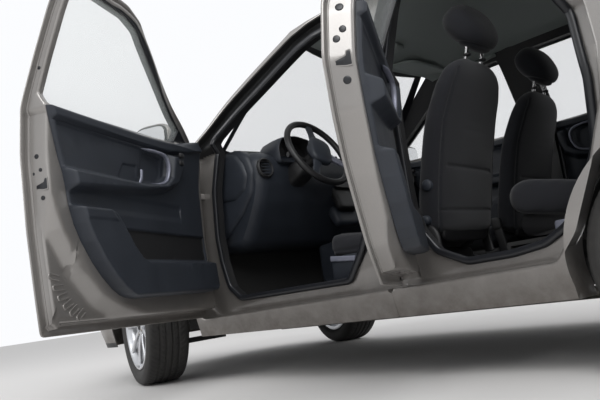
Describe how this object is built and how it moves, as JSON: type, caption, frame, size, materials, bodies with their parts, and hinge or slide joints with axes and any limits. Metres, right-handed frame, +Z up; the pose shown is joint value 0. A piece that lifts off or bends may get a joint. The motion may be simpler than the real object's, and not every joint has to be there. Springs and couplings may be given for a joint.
{
  "type": "hatchback car",
  "caption": "Five-door hatchback car with its left doors open and its front wheels turned, doors, bonnet, tailgate, steering and wheels on real joints",
  "frame": {"origin": "on the floor under the car's centreline, halfway between the front and rear axles", "axes": "+X forward, +Y to the car's left, +Z up"},
  "size_m": [3.986, 2.6797, 1.498],
  "materials": {
    "body_paint": "warm grey metallic paint under clear coat",
    "floor_steel": "black underbody coating",
    "black_plastic": "black moulded plastic",
    "interior_plastic": "grained dark plastic",
    "seat_fabric": "charcoal woven cloth",
    "seal_rubber": "soft black rubber",
    "chassis_steel": "black painted steel",
    "engine_alloy": "cast aluminium",
    "exhaust_steel": "dull steel",
    "window_glass": "clear tinted glass",
    "lamp_glass": "clear moulded lamp cover",
    "wheel_leather": "black leather and foam",
    "tyre_rubber": "black rubber",
    "wheel_alloy": "silver painted alloy"
  },
  "bodies": {
    "car_body": {"underbody": "floor_steel", "body_side_left": "body_paint", "body_side_right": "body_paint", "roof_panel": "body_paint", "front_wings": "body_paint", "bumpers": "body_paint", "plastic_grilles": "black_plastic", "lamps": "lamp_glass", "windscreen": "window_glass", "dashboard": "interior_plastic", "front_seats": "seat_fabric", "rear_seat": "seat_fabric", "door_seals": "seal_rubber", "front_subframe": "chassis_steel", "rear_axle": "chassis_steel", "engine_block": "engine_alloy", "exhaust": "exhaust_steel"},
    "front_door_left_body": {"front_door_left": "body_paint", "front_trim_left": "interior_plastic", "front_glass_left": "window_glass", "mirror_left": "black_plastic"},
    "rear_door_left_body": {"rear_door_left": "body_paint", "rear_trim_left": "interior_plastic", "rear_glass_left": "window_glass"},
    "front_door_right_body": {"front_door_right": "body_paint", "front_trim_right": "interior_plastic", "front_glass_right": "window_glass", "mirror_right": "black_plastic"},
    "rear_door_right_body": {"rear_door_right": "body_paint", "rear_trim_right": "interior_plastic", "rear_glass_right": "window_glass"},
    "bonnet_body": {"bonnet": "body_paint"},
    "tailgate_body": {"tailgate": "body_paint", "tailgate_glass": "window_glass"},
    "steering_wheel_body": {"steering_wheel": "wheel_leather"},
    "steered_left": {"knuckle_left": "chassis_steel"},
    "steered_right": {"knuckle_right": "chassis_steel"},
    "wheel_front_left": {"tyre_front_left": "tyre_rubber", "rim_front_left": "wheel_alloy"},
    "wheel_front_right": {"tyre_front_right": "tyre_rubber", "rim_front_right": "wheel_alloy"},
    "wheel_rear_left": {"tyre_rear_left": "tyre_rubber", "rim_rear_left": "wheel_alloy"},
    "wheel_rear_right": {"tyre_rear_right": "tyre_rubber", "rim_rear_right": "wheel_alloy"}
  },
  "joints": [
    {"name": "left_front_door", "type": "hinge", "parent": "car_body", "child": "front_door_left_body", "pos_m": [0.73, 0.788, 0.7], "axis": [0, 0, -1], "range_deg": [-64.7, 0]},
    {"name": "left_rear_door", "type": "hinge", "parent": "car_body", "child": "rear_door_left_body", "pos_m": [-0.335, 0.788, 0.7], "axis": [0, 0, -1], "range_deg": [-60.8, 0]},
    {"name": "right_front_door", "type": "hinge", "parent": "car_body", "child": "front_door_right_body", "pos_m": [0.73, -0.788, 0.7], "axis": [0, 0, 1], "range_deg": [0, 64.7]},
    {"name": "right_rear_door", "type": "hinge", "parent": "car_body", "child": "rear_door_right_body", "pos_m": [-0.335, -0.788, 0.7], "axis": [0, 0, 1], "range_deg": [0, 60.8]},
    {"name": "bonnet_hinge", "type": "hinge", "parent": "car_body", "child": "bonnet_body", "pos_m": [0.878, 0, 1.004], "axis": [0, -1, 0], "range_deg": [0, 50]},
    {"name": "tailgate_hinge", "type": "hinge", "parent": "car_body", "child": "tailgate_body", "pos_m": [-1.386, 0, 1.442], "axis": [0, 1, 0], "range_deg": [0, 85]},
    {"name": "left_steer", "type": "hinge", "parent": "car_body", "child": "steered_left", "pos_m": [1.2255, 0.65, 0.295], "axis": [0, 0, 1], "range_deg": [-15, 53]},
    {"name": "right_steer", "type": "hinge", "parent": "car_body", "child": "steered_right", "pos_m": [1.2255, -0.65, 0.295], "axis": [0, 0, 1], "range_deg": [-15, 53]},
    {"name": "steering_wheel_turn", "type": "hinge", "parent": "car_body", "child": "steering_wheel_body", "pos_m": [0.3, 0.37, 0.95], "axis": [-0.9063, 0, 0.4226], "range_deg": [-232.5, 821.5]},
    {"name": "front_left_spin", "type": "hinge", "parent": "steered_left", "child": "wheel_front_left", "pos_m": [1.24699, 0.7124, 0.295], "axis": [0.3256, 0.9455, 0], "continuous": true},
    {"name": "front_right_spin", "type": "hinge", "parent": "steered_right", "child": "wheel_front_right", "pos_m": [1.20401, -0.7124, 0.295], "axis": [0.3256, 0.9455, 0], "continuous": true},
    {"name": "rear_left_spin", "type": "hinge", "parent": "car_body", "child": "wheel_rear_left", "pos_m": [-1.2255, 0.716, 0.295], "axis": [0, 1, 0], "continuous": true},
    {"name": "rear_right_spin", "type": "hinge", "parent": "car_body", "child": "wheel_rear_right", "pos_m": [-1.2255, -0.716, 0.295], "axis": [0, 1, 0], "continuous": true}
  ],
  "couplings": [
    {"joint": "right_steer", "follows": "left_steer", "ratio": 1},
    {"joint": "steering_wheel_turn", "follows": "left_steer", "ratio": 15.5}
  ]
}
